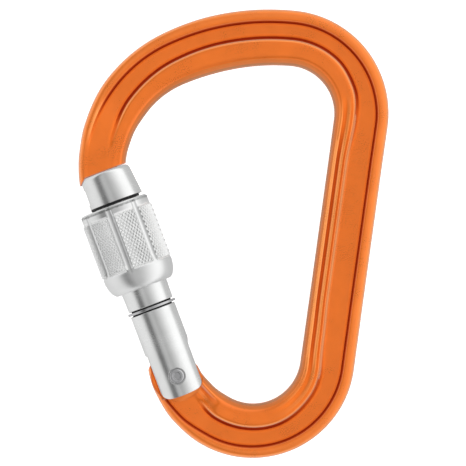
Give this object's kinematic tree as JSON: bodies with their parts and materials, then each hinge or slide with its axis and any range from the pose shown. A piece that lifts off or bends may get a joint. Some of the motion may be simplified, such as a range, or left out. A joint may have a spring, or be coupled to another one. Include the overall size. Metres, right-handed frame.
{
  "type": "locking carabiner",
  "caption": "Pear-shaped locking carabiner: forged I-section body, sprung keylock gate, and a fluted screw sleeve that closes over the gate's tip.",
  "frame": {"origin": "centre of the part's box, in the middle plane of the bar", "axes": "+Y along the spine towards the wide end, +X from the gate towards the spine, +Z through the thickness"},
  "size_m": [0.0686, 0.102, 0.0166],
  "materials": {
    "orange_anodised": "satin orange anodising on a hot-forged bar",
    "bright_aluminium": "polished, turned",
    "knurled_aluminium": "fine knurl between smooth ends",
    "stainless_steel": "turned",
    "spring_steel": "drawn wire",
    "black_rubber": "moulded"
  },
  "bodies": {
    "body": {"body": "orange_anodised"},
    "gate": {"gate": "bright_aluminium", "hinge_rivet": "stainless_steel", "tip_seal_ring": "black_rubber", "sleeve_stop_ring": "stainless_steel", "gate_spring": "spring_steel"},
    "plunger": {"spring_plunger": "stainless_steel"},
    "sleeve_carrier": {"sleeve_friction_ring": "black_rubber"},
    "sleeve": {"locking_sleeve": "knurled_aluminium"}
  },
  "joints": [
    {"name": "gate_hinge", "type": "hinge", "parent": "body", "child": "gate", "pos_m": [-0.00529, -0.03461, 0], "axis": [0, 0, -1], "range_deg": [0, 48], "stiffness_Nm_per_rad": 0.12, "springref_deg": -85.94},
    {"name": "plunger_slide", "type": "slide", "parent": "gate", "child": "plunger", "axis": [-0.4772, 0.8788, 0], "range_m": [0, 0.0012], "deforming": ["gate_spring"]},
    {"name": "sleeve_slide", "type": "slide", "parent": "gate", "child": "sleeve_carrier", "axis": [-0.4772, 0.8788, 0], "range_m": [-0.0042, 0.0046]},
    {"name": "sleeve_turn", "type": "hinge", "parent": "sleeve_carrier", "child": "sleeve", "pos_m": [-0.02022, -0.0071, 0], "axis": [-0.4772, 0.8788, 0], "range_deg": [-600, 660]}
  ],
  "couplings": [
    {"joint": "plunger_slide", "follows": "gate_hinge", "m_per_rad": 0.0014},
    {"joint": "sleeve_slide", "follows": "sleeve_turn", "m_per_rad": 0.00039789}
  ]
}
